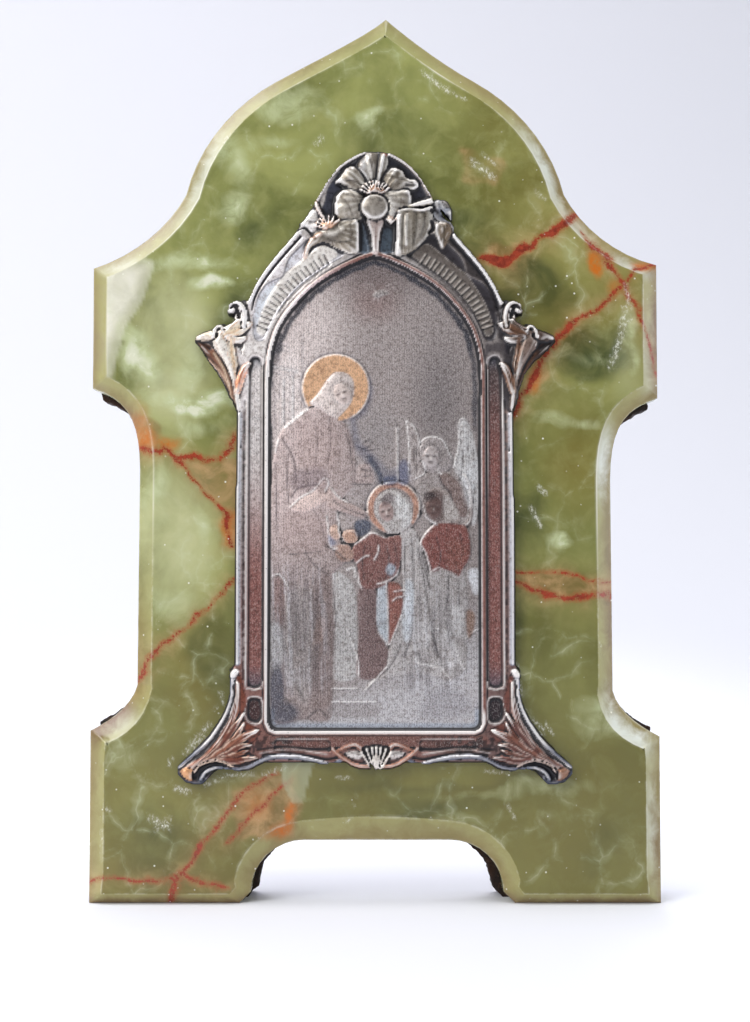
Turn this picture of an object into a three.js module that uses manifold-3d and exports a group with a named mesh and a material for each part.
import * as THREE from 'three';
import Module from 'manifold-3d';

// Driving dimensions, in millimetres. x runs to the right of the centre line, y up from
// the base, and depth from the back of the board to the front.
const HEIGHT = 200;
const APEX_SHIFT = 2.5; // the hand-cut apex stands to the right of the centre line
const SHOULDER_HALF = 63.9;
const WAIST_HALF = 53.1;
const FOOT_HALF = 63.8;
const SHOULDER_TOP = { left: 142.6, right: 143.4 };
const SHOULDER_FOOT = { left: 115.2, right: 113.0 };
const FOOT_TOP = { left: 38.2, right: 36.9 };
const COVE_DROP = 18.2; // height of the cove under a shoulder
const FOOT_COVE_RISE = 12.2; // height of the cove over a foot
const OGEE_TURN = { x: 43.0, y: 159.5 }; // where the hollow turns into the swell
const OGEE_BROW = { x: 22.7, y: 185.5 }; // where the swell turns up to the apex
const ARCH_CENTRE = 0.5;
const ARCH_HALF = 28.2;
const ARCH_HEIGHT = 13.9;
const ARCH_CHAMFER = 2.5;
const ARCH_CORNER = { x: 12.0, y: ARCH_HEIGHT - ARCH_CHAMFER };

const BOARD_THICKNESS = 7.5;
const BOARD_INSET = 1.0; // hidden behind the stone on straight edges and on the ogee
const BOARD_PROUD = 1.9; // shown under the shoulders
const BOARD_PROUD_FOOT = 1.4; // shown over the feet
const BOARD_PROUD_ARCH = { left: 1.3, right: 2.2 };
const SLAB_THICKNESS = 9.2;
const BEVEL_WIDTH = 3.2;
const BEVEL_BASE_WIDTH = 2.5;
const BEVEL_DEPTH = 2.5;
const GAP = 0.3; // between pieces that touch
const RELIEF_RISE = 4.0; // back of the relief to the front of the lily

const PLATE = 0.6; // ground of the picture
const FRAME = 1.45; // flat of the frame
const BEAD = 2.05; // crest of the frame's beads
const RIM_HALF = 30.6; // centre of the outer bead at the rails
const OPENING_HALF = 23.9; // centre of the inner bead
const OPENING_BOTTOM = 38.4;
const OPENING_SPRING = 117; // where the rails turn into the arch
const OPENING_TOP = 144.9;
const OPENING_CORNER = 1.9;
const BEAD_HALF = 0.45;
const PANEL_SINK = 0.45;
const BAND_SINK = 0.4;
const STROKE_SINK = 0.25;
const STROKE_COUNT = 11;

const SLAB_BACK = BOARD_THICKNESS + GAP;
const RELIEF_BACK = SLAB_BACK + SLAB_THICKNESS + GAP;
const TOTAL_DEPTH = RELIEF_BACK + RELIEF_RISE;

const wasm = await Module();
wasm.setup();

const at = (x, y) => new THREE.Vector2(x, y);
const list = (pairs, side = 1) => pairs.map(([x, y]) => at(side * x, y));

function solidOf(points, faces) {
  let volume = 0;
  for (const [a, b, c] of faces) {
    const [p, q, r] = [points[a], points[b], points[c]];
    volume += p[0] * (q[1] * r[2] - q[2] * r[1]) - p[1] * (q[0] * r[2] - q[2] * r[0])
      + p[2] * (q[0] * r[1] - q[1] * r[0]);
  }
  const turned = volume < 0 ? faces.map(([a, b, c]) => [a, c, b]) : faces;
  return new wasm.Manifold(new wasm.Mesh({
    numProp: 3,
    vertProperties: new Float32Array(points.flat()),
    triVerts: new Uint32Array(turned.flat()),
  }));
}

// A solid between outlines that have the same number of points, each at its own depth.
function loft(outlines, depths) {
  const count = outlines[0].length;
  const points = outlines.flatMap((line, k) => line.map((p) => [p.x, p.y, depths[k]]));
  const last = (outlines.length - 1) * count;
  const faces = [];
  for (const [a, b, c] of THREE.ShapeUtils.triangulateShape(outlines[0], [])) faces.push([a, c, b]);
  for (const [a, b, c] of THREE.ShapeUtils.triangulateShape(outlines.at(-1), [])) {
    faces.push([last + a, last + b, last + c]);
  }
  for (let k = 0; k < outlines.length - 1; k += 1) {
    for (let i = 0; i < count; i += 1) {
      const [a, b] = [k * count + i, k * count + ((i + 1) % count)];
      faces.push([a, b, b + count], [a, b + count, a + count]);
    }
  }
  return solidOf(points, faces);
}

function counterClockwise(line) {
  return THREE.ShapeUtils.isClockWise(line) ? [...line].reverse() : line;
}

const prism = (line, low, high) => {
  const outline = counterClockwise(line);
  return loft([outline, outline], [low, high]);
};

function bezier(from, handleA, handleB, to, steps) {
  return new THREE.CubicBezierCurve(from, handleA, handleB, to).getPoints(steps).slice(0, -1);
}

function spline(pairs, steps, side = 1) {
  return new THREE.SplineCurve(list(pairs, side)).getPoints(steps);
}

// A closed smooth outline through a few points.
function closedSpline(pairs, perSpan, side = 1) {
  const around = pairs.map(([x, y]) => new THREE.Vector3(side * x, y, 0));
  const curve = new THREE.CatmullRomCurve3(around, true, 'centripetal');
  return counterClockwise(
    curve.getPoints(pairs.length * perSpan).slice(0, -1).map((p) => at(p.x, p.y)),
  );
}

// Moves every side of a counter-clockwise outline inwards, with mitred corners.
function inset(line, distanceOf) {
  const count = line.length;
  const sides = line.map((p, i) => {
    const along = line[(i + 1) % count].clone().sub(p).normalize();
    const inward = at(-along.y, along.x);
    return { inward, reach: p.dot(inward) + distanceOf(p, line[(i + 1) % count]) };
  });
  return line.map((p, i) => {
    const [a, b] = [sides[(i + count - 1) % count], sides[i]];
    const turn = a.inward.cross(b.inward);
    if (Math.abs(turn) < 0.02) {
      return p.clone().addScaledVector(b.inward, b.reach - p.dot(b.inward));
    }
    return at(
      (a.reach * b.inward.y - b.reach * a.inward.y) / turn,
      (b.reach * a.inward.x - a.reach * b.inward.x) / turn,
    );
  });
}

// One half of the outline, from the outer corner of the foot up to just under the apex.
function flank(side, hand, inward, proud, footProud) {
  const shoulder = SHOULDER_HALF - inward;
  const foot = FOOT_HALF - inward;
  const waist = WAIST_HALF - inward * 0.5;
  const footTop = FOOT_TOP[hand] + footProud;
  const shoulderFoot = SHOULDER_FOOT[hand] - proud;
  const waistLow = footTop + FOOT_COVE_RISE;
  const waistHigh = shoulderFoot - COVE_DROP;
  const p = (x, y) => at(side * x, y);
  return [
    p(foot, 0),
    ...bezier(p(foot, footTop), p(foot - 5.2, footTop + 2.6), p(waist, waistLow - 5.6),
      p(waist, waistLow), 8),
    ...bezier(p(waist, waistHigh), p(waist + 0.2, waistHigh + 11),
      p(shoulder - 8, shoulderFoot - 2.6), p(shoulder, shoulderFoot), 9),
    p(shoulder, shoulderFoot),
    ...bezier(p(shoulder, SHOULDER_TOP[hand] - inward), p(54.5 - inward, 145.6),
      p(OGEE_TURN.x + 3.8 - inward, OGEE_TURN.y - 7.3), p(OGEE_TURN.x - inward, OGEE_TURN.y), 8),
    ...bezier(p(OGEE_TURN.x - inward, OGEE_TURN.y), p(OGEE_TURN.x - 2.6 - inward, OGEE_TURN.y + 11),
      p(OGEE_BROW.x + 9.9, OGEE_BROW.y - 5.5 - inward), p(OGEE_BROW.x, OGEE_BROW.y - inward), 9),
    ...bezier(p(OGEE_BROW.x, OGEE_BROW.y - inward), p(15.5, 189.5 - inward),
      at(APEX_SHIFT + side * 4.2, HEIGHT - 3.8 - inward), at(APEX_SHIFT, HEIGHT - inward * 1.4), 7),
  ];
}

function archSide(side, proud) {
  const half = ARCH_HALF - proud;
  const turned = (Math.PI / 2) / 8;
  const corner = Array.from({ length: 9 }, (_, i) => at(
    ARCH_CENTRE + side * (half - ARCH_CORNER.x + ARCH_CORNER.x * Math.cos(i * turned)),
    ARCH_CHAMFER + ARCH_CORNER.y * Math.sin(i * turned),
  ));
  return [at(ARCH_CENTRE + side * (half + ARCH_CHAMFER), 0), ...corner];
}

function outline(inward, proud, footProud, archProud) {
  return [
    ...flank(1, 'right', inward, proud, footProud),
    at(APEX_SHIFT, HEIGHT - inward * 1.4),
    ...flank(-1, 'left', inward, proud, footProud).reverse(),
    ...archSide(-1, archProud.left),
    ...archSide(1, archProud.right).reverse(),
  ];
}

function makeSlab() {
  const full = outline(0, 0, 0, { left: 0, right: 0 });
  const onBase = (p, q) => Math.abs(p.y) < 0.01 && Math.abs(q.y) < 0.01;
  const face = inset(full, (p, q) => (onBase(p, q) ? BEVEL_BASE_WIDTH : BEVEL_WIDTH));
  const front = SLAB_BACK + SLAB_THICKNESS;
  return loft([full, full, face], [SLAB_BACK, front - BEVEL_DEPTH, front]);
}

function makeBoard() {
  return prism(outline(BOARD_INSET, BOARD_PROUD, BOARD_PROUD_FOOT, BOARD_PROUD_ARCH),
    0, BOARD_THICKNESS);
}

// A raised strip along a path: width, edge height and crest height may change on the way,
// and the profile says how high each place across it stands between edge and crest.
const TENT = [[-1, 0], [0, 1], [1, 0]];
const ROUND = [[-1, 0], [-0.45, 0.9], [0.45, 0.9], [1, 0]];
const TROUGH = [[-1, 0.7], [-0.6, 1], [0, 0.2], [0.6, 1], [1, 0.7]];
const valueAt = (value, t) => (typeof value === 'function' ? value(t) : value);

function strip(path, { half, crest, edge = PLATE, profile = ROUND, closed = false }) {
  const count = path.length;
  const across = profile.length + 2;
  const points = [];
  path.forEach((p, i) => {
    const t = closed ? 0.5 : i / (count - 1);
    const before = path[closed ? (i + count - 1) % count : Math.max(i - 1, 0)];
    const after = path[closed ? (i + 1) % count : Math.min(i + 1, count - 1)];
    const along = after.clone().sub(before).normalize();
    const [w, low, high] = [valueAt(half, t), valueAt(edge, t), valueAt(crest, t)];
    const place = (u, rise) => [p.x - along.y * u * w, p.y + along.x * u * w, RELIEF_BACK + rise];
    points.push(place(-1, 0), ...profile.map(([u, v]) => place(u, low + (high - low) * v)),
      place(1, 0));
  });
  const faces = [];
  for (let i = 0; i < (closed ? count : count - 1); i += 1) {
    const [here, next] = [i * across, ((i + 1) % count) * across];
    for (let k = 0; k < across; k += 1) {
      const m = (k + 1) % across;
      faces.push([here + k, next + k, next + m], [here + k, next + m, here + m]);
    }
  }
  if (!closed) {
    const end = (count - 1) * across;
    for (let k = 1; k < across - 1; k += 1) {
      faces.push([0, k, k + 1], [end, end + k + 1, end + k]);
    }
  }
  return solidOf(points, faces);
}

function dome(x, y, halfWide, halfHigh, crest, edge = PLATE, turned = 0) {
  const rings = [1, 0.62].map((k) => Array.from({ length: 10 }, (_, i) => {
    const angle = (i / 10) * Math.PI * 2;
    const p = at(halfWide * k * Math.cos(angle), halfHigh * k * Math.sin(angle));
    return p.rotateAround(at(0, 0), turned).add(at(x, y));
  }));
  const rise = (v) => RELIEF_BACK + edge + (crest - edge) * v;
  return loft([rings[0], rings[0], rings[1]], [RELIEF_BACK, rise(0), rise(1)]);
}

const swell = (from, middle, to) => (t) => (
  t < 0.5 ? from + (middle - from) * Math.sin(t * Math.PI) : to + (middle - to) * Math.sin(t * Math.PI)
);
const raised = (line, rise) => prism(line, RELIEF_BACK, RELIEF_BACK + rise);

const base = [];
const added = [];
const sunk = [];
const add = (...solids) => added.push(...solids);
const sink = (line, from, depth) => sunk.push(
  prism(line, RELIEF_BACK + from - depth, RELIEF_BACK + RELIEF_RISE + 1),
);

// The opening of the picture: straight sides under a pointed arch.
function opening(grow) {
  const half = OPENING_HALF + grow;
  const right = [
    ...bezier(at(half - OPENING_CORNER, OPENING_BOTTOM - grow), at(half, OPENING_BOTTOM - grow),
      at(half, OPENING_BOTTOM - grow), at(half, OPENING_BOTTOM - grow + OPENING_CORNER), 4),
    ...bezier(at(half, OPENING_SPRING), at(half, OPENING_SPRING + 10),
      at(19 + grow, OPENING_SPRING + 17), at(14.6 + grow * 0.7, OPENING_SPRING + 20.2 + grow * 0.7), 6),
    ...bezier(at(14.6 + grow * 0.7, OPENING_SPRING + 20.2 + grow * 0.7), at(9.6, 141.2 + grow),
      at(4.2, OPENING_TOP - 1 + grow), at(0, OPENING_TOP + grow), 6),
  ];
  return [...right, at(0, OPENING_TOP + grow),
    ...right.slice(1).reverse().map((p) => at(-p.x, p.y)), at(-right[0].x, right[0].y)];
}

function makeFrame() {
  const half = [[27, 31.6], [31.1, 34], [31.2, 78], [30.9, 108], [29.6, 124], [28.6, 134.2],
    [26, 139.6], [22.3, 144.8], [18.8, 148.8], [16.2, 152.4], [13.2, 157.2], [10.6, 161.6],
    [7.4, 165.4], [3.2, 167.8]];
  const body = [...list(half), at(0.8, 168.4), ...list(half, -1).reverse()];
  const window = prism(opening(0), RELIEF_BACK - 1, RELIEF_BACK + RELIEF_RISE);
  base.push(raised(body, PLATE), raised(body, FRAME).subtract(window));
  add(strip(opening(0), { half: BEAD_HALF, crest: BEAD, edge: FRAME - 0.2, profile: TENT, closed: true }));
  for (const side of [-1, 1]) {
    const rail = list([[RIM_HALF, 53], [RIM_HALF, 80], [RIM_HALF - 0.2, 110]], side);
    add(strip(rail, { half: 0.6, crest: BEAD - 0.2, edge: FRAME - 0.4, profile: TENT }));
    const arch = spline([[28.2, 133.6], [25.6, 139.2], [22, 144.2], [17.6, 149.4]], 6, side);
    add(strip(arch, { half: 0.5, crest: BEAD, edge: FRAME - 0.3, profile: TENT }));
    const cap = spline([[12.6, 156.8], [10.1, 161.2], [7.0, 165], [3, 167.3], [0.4, 168]], 7, side);
    add(strip(cap, { half: 0.6, crest: BEAD + 0.4, edge: FRAME, profile: TENT }));
  }
  // Under the lily, between its rim and the arch, the ground is sunk.
  sink(closedSpline([[-10.8, 156.2], [-8.6, 161], [-5.6, 164.6], [0, 166.4], [5.8, 164.8], [9.2, 161],
    [11.6, 156.6], [9, 151], [3, 147.2], [-3, 147.2], [-9, 151]], 3), FRAME, 0.75);
}

// A long panel with round ends between two heights.
function roundPanel(inner, outer, low, high, corner) {
  const [x0, x1] = [Math.min(inner, outer), Math.max(inner, outer)];
  const turns = [[x1, high, 0], [x0, high, 1], [x0, low, 2], [x1, low, 3]];
  return turns.flatMap(([x, y, quarter]) => Array.from({ length: 4 }, (_, i) => {
    const angle = (quarter + i / 3) * (Math.PI / 2);
    return at(x + corner * (Math.cos(angle) - (x === x1 ? 1 : -1)),
      y + corner * (Math.sin(angle) - (y === high ? 1 : -1)));
  }));
}

function makePanels() {
  for (const side of [-1, 1]) {
    sink(roundPanel(side * 24.9, side * 28.4, 48.2, 121.6, 1.4), FRAME, PANEL_SINK);
    sink(roundPanel(side * 25.2, side * 28.4, 40.4, 45.6, 0.8), FRAME, PANEL_SINK);
    const band = [[24.6, 126.2], [22.9, 130.0], [19.1, 134.6], [15.7, 138.1], [12.2, 140.8],
      [9.8, 142.6], [9.6, 146.8], [13.6, 148.2], [15.7, 146.4], [17.7, 144.4], [19.7, 141.4],
      [20.6, 139.9], [22.2, 139.1], [24.1, 137.2], [25.9, 132.8], [26.3, 127.4], [25.6, 125.9]];
    sink(list(band, side), FRAME, BAND_SINK);
    const middle = spline([[25.1, 128], [23.6, 132.4], [20, 137.4], [14.4, 142.6]], STROKE_COUNT - 1, side);
    middle.forEach((p, i) => {
      const along = middle[Math.min(i + 1, STROKE_COUNT - 1)].clone().sub(middle[Math.max(i - 1, 0)]);
      const up = at(-along.y, along.x).normalize();
      const lean = along.normalize().multiplyScalar(0.18);
      const reach = 0.95;
      const ends = [p.clone().addScaledVector(up, reach), p.clone().addScaledVector(up, -reach)];
      sink([ends[0].clone().add(lean), ends[0].clone().sub(lean), ends[1].clone().sub(lean),
        ends[1].clone().add(lean)], FRAME - BAND_SINK, STROKE_SINK);
    });
  }
  sink(roundPanel(-22.5, -9.6, 33.8, 36.6, 0.9), FRAME, PANEL_SINK);
  sink(roundPanel(9.6, 22.5, 33.8, 36.6, 0.9), FRAME, PANEL_SINK);
}

// Petals and leaves are strips that swell and close again.
function leaf(pairs, widest, crest, options = {}) {
  const { steps = 4, side = 1, profile = TENT, start = 0.25, tip = 0.15 } = options;
  return strip(spline(pairs, steps, side), {
    half: swell(start, widest, tip),
    crest: swell(crest - 0.5, crest, crest - 0.8),
    edge: Math.min(FRAME, crest - 0.7),
    profile,
  });
}

function makeLily() {
  add(
    leaf([[-0.4, 158], [-0.9, 163.4], [0.8, 168.2]], 2.1, 3.1, { profile: TROUGH, start: 0.5, tip: 0.5 }),
    leaf([[-1.2, 157.4], [-4.6, 160.4], [-8.2, 161.8]], 2.5, 2.9, { profile: ROUND, start: 0.8, tip: 0.6 }),
    leaf([[1.4, 157.8], [5.0, 160.8], [8.8, 162.0]], 2.6, 3.0, { profile: ROUND, start: 0.8, tip: 0.5 }),
    dome(-5.8, 155.3, 2.9, 3.2, 3.2, FRAME),
    dome(5.6, 156.2, 2.9, 3.3, 3.3, FRAME),
    // The two bells below, their mouths and their curled tips.
    strip(spline([[-9.0, 152.4], [-7.4, 149.2], [-4.9, 144.9]], 6),
      { half: (t) => 4.1 - 3.2 * t, crest: (t) => 2.9 - 0.6 * t, edge: FRAME }),
    leaf([[-10.6, 149.4], [-13.9, 148], [-15.6, 143.9]], 0.95, 2.6, { start: 0.9 }),
    leaf([[-11.2, 150.6], [-13.6, 152.2], [-17.2, 151.6]], 1.5, 2.4, { start: 0.8 }),
    strip(spline([[9.2, 155.2], [9.2, 151], [7.4, 147.6], [5.5, 144.9]], 7),
      { half: (t) => 3.7 + 0.6 * Math.sin(t * 3.1) - 3 * t, crest: (t) => 3.0 - 0.6 * t, edge: FRAME }),
    leaf([[6.4, 156.4], [9.6, 156.9], [12.6, 158]], 1.1, 3.0, { start: 0.5 }),
    leaf([[12.4, 156.4], [15.6, 156.2], [17.2, 152.8]], 1.3, 2.5, { start: 0.6 }),
    leaf([[16.3, 152.4], [16.0, 149.4], [14.8, 146.2]], 1.9, 2.4, { profile: ROUND, start: 0.8 }),
    leaf([[13.9, 151], [13.4, 148.6], [14.6, 146.4]], 0.8, 2.0, {}),
    strip(spline([[0, 152.6], [0.1, 149], [0.1, 145.4]], 5),
      { half: (t) => 1.7 - 1.25 * t, crest: 2.8, edge: FRAME, profile: TROUGH }),
  );
  for (const [x, y, angles] of [[-0.3, 157.6, [40, 62, 84, 106, 130]], [-11.0, 151.6, [70, 105, 140, 175]]]) {
    for (const degrees of angles) {
      const angle = (degrees * Math.PI) / 180;
      const end = at(x + 2.7 * Math.cos(angle), y + 2.7 * Math.sin(angle));
      add(strip([at(x, y), end], { half: 0.28, crest: 3.3, edge: 2.2, profile: TENT }));
    }
  }
  add(dome(0, 154.6, 3.1, 3.2, RELIEF_RISE, FRAME));
}

function makeBrackets() {
  for (const side of [-1, 1]) {
    // Upper bracket: a drawn-out tip, a curl above it and an acanthus leaf.
    add(raised(list([[40.5, 125.4], [38.4, 122.8], [35.6, 120.2], [33.6, 117.3], [32.6, 114.8],
      [31.9, 111.6], [30.9, 109.2], [28.6, 110], [28.4, 120], [27.4, 125], [28.4, 131],
      [28.8, 134.7], [30.8, 134.5], [32.6, 133.6], [33.2, 131.2], [34.4, 129.4], [36.4, 128.2],
      [39.9, 126.8]], side), 1.2));
    add(
      leaf([[30.8, 110.6], [33.0, 117.4], [39.8, 125.6]], 1.9, 2.3, { side }),
      leaf([[30.9, 111.4], [32.4, 119], [35.0, 127.6]], 1.5, 2.6, { side, profile: ROUND }),
      leaf([[30.7, 113], [30.7, 119], [31.4, 125.4]], 1.4, 2.3, { side }),
      leaf([[33.8, 125.8], [30.4, 127], [27.2, 127.4]], 1.9, 2.5, { side, profile: ROUND, tip: 0.9 }),
      leaf([[33.4, 128.4], [30.8, 130.0], [28.0, 130.8]], 1.3, 2.3, { side, tip: 0.6 }),
      leaf([[29.9, 113.6], [29.2, 117], [27.8, 120.4]], 0.9, 2.1, { side, profile: ROUND }),
      leaf([[40.0, 126.4], [37.2, 127.3], [34.8, 128.4]], 0.6, 2.0, { side, start: 0.3, tip: 0.4 }),
      dome(side * 31.2, 132.5, 1.6, 1.5, 2.7, 1.2),
    );
    // Lower bracket: a spread foot with a rolled edge and a leaf that fans out from its tip.
    add(raised(list([[29, 53.6], [31.3, 53.4], [32.4, 50.8], [32.0, 47.6], [32.8, 44.6],
      [34.2, 41.4], [37.6, 36.4], [43.5, 30.9], [43.8, 29.3], [41.6, 27.0], [38.2, 26.6],
      [36.9, 28.2], [35.2, 29.7], [33.0, 30.3], [30.2, 29.5], [27.4, 29.9], [24.6, 31.4],
      [23, 34], [25, 40], [28.6, 47]], side), 1.2));
    add(
      strip(spline([[31.7, 51.4], [31.4, 47.6], [32.6, 43.4], [36.6, 37], [43.0, 30.6]], 8, side),
        { half: 0.55, crest: 2.4, edge: 1.2, profile: TENT }),
      strip(spline([[43.0, 30.4], [43.1, 29.2], [41.2, 27.6], [38.5, 27.2]], 6, side),
        { half: 0.55, crest: 1.9, edge: 0.9, profile: TENT }),
      strip(spline([[38.3, 27.3], [36.8, 29.2], [34.4, 30.7], [31.4, 30.4], [28.2, 30.4], [24.4, 32.2],
        [18, 32.4], [10.4, 31.6]], 12, side), { half: 0.55, crest: 1.8, edge: 0.9, profile: TENT }),
      leaf([[41.2, 29.6], [35, 36.6], [31.1, 43.2], [30.4, 51.6]], 1.7, 2.2, { side, steps: 7 }),
      leaf([[40.6, 29.6], [34, 35.2], [25.6, 38.8]], 2.0, 2.4, { side, tip: 1.0 }),
      leaf([[40.4, 29.2], [33.6, 32.8], [25.4, 33.4]], 1.7, 2.1, { side, tip: 0.7 }),
      leaf([[34.4, 36.6], [31, 40.6], [28.8, 44.4]], 1.2, 2.1, { side, tip: 0.5 }),
      dome(side * 31.3, 51.7, 1.1, 1.0, 2.4, 1.2),
    );
    // The side leaves of the palmette in the middle of the bottom rail.
    add(
      leaf([[0.8, 30.2], [4.8, 31.6], [8.8 + side * 0.8, 34.4]], 1.15, 2.2, { side }),
      leaf([[1.2, 31], [4.0, 33.2], [5.0, 36]], 1.0, 2.3, { side }),
      leaf([[1.4, 31.2], [4.8, 33.2], [7.2, 34.8]], 0.8, 2.0, { side }),
    );
  }
  for (let ray = -2; ray <= 2; ray += 1) {
    const angle = Math.PI / 2 + ray * 0.2;
    const end = at(0.2 + 5 * Math.cos(angle), 30 + 5 * Math.sin(angle));
    add(strip([at(0.2, 29.8), end], { half: (t) => 0.15 + 0.42 * t, crest: 2.3, edge: 1.1, profile: TENT }));
  }
}

// The picture: low flat figures in steps, as the worn stamping shows them.
const STEP = { far: 0.18, body: 0.38, near: 0.58, front: 0.78 };
const figure = (pairs, rise, perSpan = 2) => raised(closedSpline(pairs, perSpan), PLATE + rise);
const line = (pairs, half, rise, steps = 4) => strip(spline(pairs, steps),
  { half, crest: PLATE + rise, edge: PLATE * 0.9, profile: TENT });

function makeHalo(x, y, outer, inner, from, sweep, rise) {
  const count = 14;
  const ring = (radius) => Array.from({ length: count + 1 }, (_, i) => {
    const angle = from + (sweep * i) / count;
    return at(x + radius * Math.cos(angle), y + radius * Math.sin(angle));
  });
  add(raised([...ring(outer), ...ring(inner).reverse()], PLATE + rise));
}

function makeScene() {
  // Columned wall behind the standing figure, with its mouldings and a niche.
  for (const x of [-22.6, -20.4, -17.2]) add(line([[x, 104], [x, 118.4]], 0.28, STEP.far, 1));
  for (const y of [117.8, 119, 120.4, 123.6]) add(line([[-23.4, y], [-16.8, y]], 0.3, STEP.far, 1));
  add(figure([[-20.0, 113.6], [-19.0, 115.6], [-18.2, 113.4], [-17.8, 107], [-20.2, 107]], STEP.far, 1));
  // Dove with spread wings and five rays.
  add(leaf([[1.6, 137.4], [1.2, 136.2], [1.1, 134.8]], 0.7, PLATE + 0.8, {}));
  for (const side of [-1, 1]) {
    add(line([[1.3 + side * 0.4, 136.2], [1.3 + side * 2.2, 137.6], [1.3 + side * 3.3, 137.0]], 0.55, 0.3, 4));
  }
  for (let ray = -2; ray <= 2; ray += 1) {
    add(line([[1.2 + ray * 0.7, 134.2], [1.2 + ray * 1.5, 131.8]], 0.2, 0.14, 1));
  }
  // Altar with its cloth, a small tabernacle and a candle.
  add(figure([[-5.4, 94.2], [-0.4, 94.2], [-0.2, 84], [-5.2, 82]], STEP.far, 1));
  add(figure([[-4.0, 94.2], [-0.6, 94.2], [-0.6, 99.4], [-1.2, 102], [-3.4, 102], [-4.0, 99.4]], STEP.body, 1));
  add(line([[5.1, 94], [5.1, 107]], 0.4, 0.3, 1));
  // Step and pedestal between the two main figures.
  add(figure([[-9.4, 68], [-3.4, 68], [-3.2, 48], [-9.4, 48]], STEP.far, 1));
  add(raised(list([[-9.6, 41.8], [2, 41.8], [0.8, 45], [-2.6, 45], [-2.8, 48], [-9.6, 48]]), PLATE + STEP.far));
  add(raised(list([[-23.4, 39], [23.4, 39], [23.4, 47], [8, 44.6], [-8, 43], [-23.4, 44]]), PLATE + 0.1));

  // Standing figure in a long robe.
  makeHalo(-8.6, 114.9, 7.5, 3.4, -0.9, 5.1, STEP.body);
  add(figure([[-11.6, 109.6], [-18.6, 107.2], [-22.2, 102.4], [-23.3, 92], [-23.2, 70], [-22.4, 54],
    [-19.6, 42.6], [-14, 41.4], [-9.4, 42.6], [-8.8, 60], [-8.6, 73], [-5.6, 84], [-2.6, 88.4],
    [-4.4, 101.6], [-6.6, 107.4]], STEP.body));
  add(figure([[-12.4, 110.6], [-11.2, 113.6], [-11.0, 117.0], [-8.8, 118.6], [-6.0, 117.6], [-5.2, 114.4],
    [-5.6, 111.2], [-7.4, 109.0], [-10.4, 109.0]], STEP.near));
  add(dome(-7.9, 113.7, 2.0, 2.9, PLATE + 1.0, PLATE + 0.5, -0.35));
  add(figure([[-20.6, 102], [-18.2, 103.6], [-15.6, 98], [-16.0, 91], [-18.6, 87.4], [-21.6, 90]], STEP.near));
  add(figure([[-18.2, 88.4], [-14.6, 91.4], [-11.6, 94.6], [-10.6, 93.4], [-11.6, 90.8], [-13.4, 88.4],
    [-16.4, 87]], STEP.front, 1));
  add(figure([[-12.0, 92], [-9.4, 91.6], [-6.4, 88.2], [-7.6, 83.6], [-10.8, 85]], STEP.near));
  add(figure([[-13.4, 72.8], [-9.6, 73.2], [-9.6, 46], [-13.8, 46.4]], STEP.near, 1));
  for (const [x, low] of [[-21.4, 50], [-19.2, 48], [-16.8, 46], [-15.0, 46]]) {
    add(line([[x, 84], [x - 0.3, 68], [x + 0.8, low]], 0.35, STEP.near + 0.1));
  }

  // Kneeling figure with joined hands, a cape and a long veil.
  makeHalo(4.3, 87.4, 6.0, 4.5, 0, Math.PI * 2, STEP.body);
  add(figure([[-3.9, 81], [0.8, 84.4], [5.6, 83.6], [8.6, 80.2], [10.6, 70], [14.6, 58], [17.2, 49.6],
    [8, 47.4], [-1.2, 48.4], [1.4, 56], [2.4, 66], [-2.4, 68], [-4.0, 74]], STEP.body));
  add(dome(3.2, 87.3, 2.7, 3.4, PLATE + 1.0, PLATE + 0.5, 0.2));
  add(dome(6.0, 87.2, 2.4, 3.6, PLATE + 0.9, PLATE + 0.5));
  add(figure([[-4.0, 80.4], [0.4, 83.2], [5.6, 82.6], [7.2, 77], [6.2, 70.4], [1.2, 67.6], [-3.8, 71.4]],
    STEP.near));
  add(figure([[-9.6, 82.6], [-6.6, 84.0], [-4.2, 80.6], [-4.6, 76.4], [-7.2, 78.4]], STEP.front));
  for (const pairs of [[[7.4, 80], [7.6, 66], [5.0, 55], [0.8, 49.4]], [[9.2, 78], [10.2, 64], [8.6, 50]],
    [[10.2, 74], [13.2, 62], [16.0, 50.6]]]) {
    add(line(pairs, 0.35, STEP.near, 5));
  }
  add(figure([[3.0, 67.6], [5.8, 67.8], [5.6, 61], [3.4, 58]], STEP.near));

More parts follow.
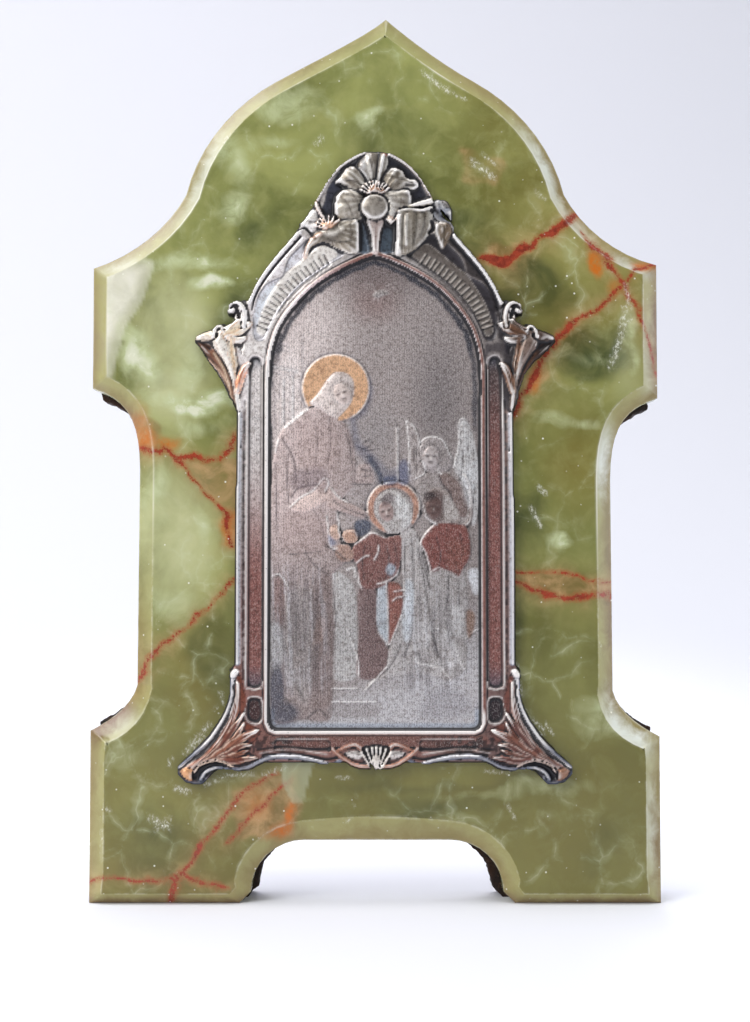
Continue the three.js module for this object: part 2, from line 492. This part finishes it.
  // Winged figure behind, and the attendant in front of it.
  add(figure([[7.4, 106.8], [9.8, 103], [10.4, 97], [9.6, 93], [7.6, 93.6], [7.2, 100]], STEP.far));
  add(figure([[19.2, 108.2], [21.6, 104.6], [22.8, 98], [23.0, 88], [19.4, 92], [17.6, 97.4], [18.4, 103]],
    STEP.far));
  add(figure([[9.4, 94.6], [12.6, 95.4], [16.8, 95.2], [18.0, 88], [15.4, 84], [10.2, 86]], STEP.far));
  add(dome(12.6, 99.8, 2.7, 3.4, PLATE + 0.75, PLATE + 0.3));
  add(figure([[14.4, 95.4], [16.4, 94], [19.6, 88], [20.4, 84.4], [18.6, 84.0], [16.2, 88]], STEP.body));
  add(figure([[20.0, 95.2], [21.0, 95], [21.8, 88], [21.0, 83.6], [20.2, 84]], STEP.body));
  add(figure([[11.0, 80], [13.4, 84], [20.4, 84.2], [21.0, 79], [20.4, 66], [21.8, 56], [20.2, 50.4],
    [16.8, 52], [14.6, 60], [12.4, 70]], STEP.far));
  add(figure([[10.4, 80], [13.2, 83.6], [20.6, 84], [21.2, 78], [18.8, 73], [16, 74.2], [12.4, 74]], STEP.body));
  add(dome(13.2, 87.4, 2.3, 3.3, PLATE + 0.9, PLATE + 0.4));
  add(line([[15.4, 73], [15.6, 64], [16.6, 54]], 0.3, STEP.body, 4));
  add(line([[18.4, 72], [19, 63], [19.8, 53]], 0.3, STEP.body, 4));
}

function toMesh(name, solid, colour, roughness, metalness) {
  const made = solid.getMesh();
  const geometry = new THREE.BufferGeometry();
  geometry.setAttribute('position', new THREE.BufferAttribute(new Float32Array(made.vertProperties), 3));
  geometry.setIndex(new THREE.BufferAttribute(new Uint32Array(made.triVerts), 1));
  geometry.translate(0, 0, -TOTAL_DEPTH / 2);
  geometry.rotateX(Math.PI / 2);
  geometry.computeVertexNormals();
  const material = new THREE.MeshStandardMaterial({ color: colour, roughness, metalness });
  material.name = name;
  const mesh = new THREE.Mesh(geometry, material);
  mesh.name = name;
  return mesh;
}

makeFrame();
makePanels();
makeLily();
makeBrackets();
makeScene();
let relief = base[0].add(base[1]);
for (const solid of sunk) relief = relief.subtract(solid);
for (const solid of added) relief = relief.add(solid);

const plaque = new THREE.Group();
plaque.name = 'communion_plaque';
plaque.add(toMesh('backing_board', makeBoard(), 0x2c1d18, 0.85, 0));
plaque.add(toMesh('onyx_slab', makeSlab(), 0x87955a, 0.25, 0));
plaque.add(toMesh('silvered_relief', relief, 0xa79f96, 0.4, 0.9));

export default plaque;
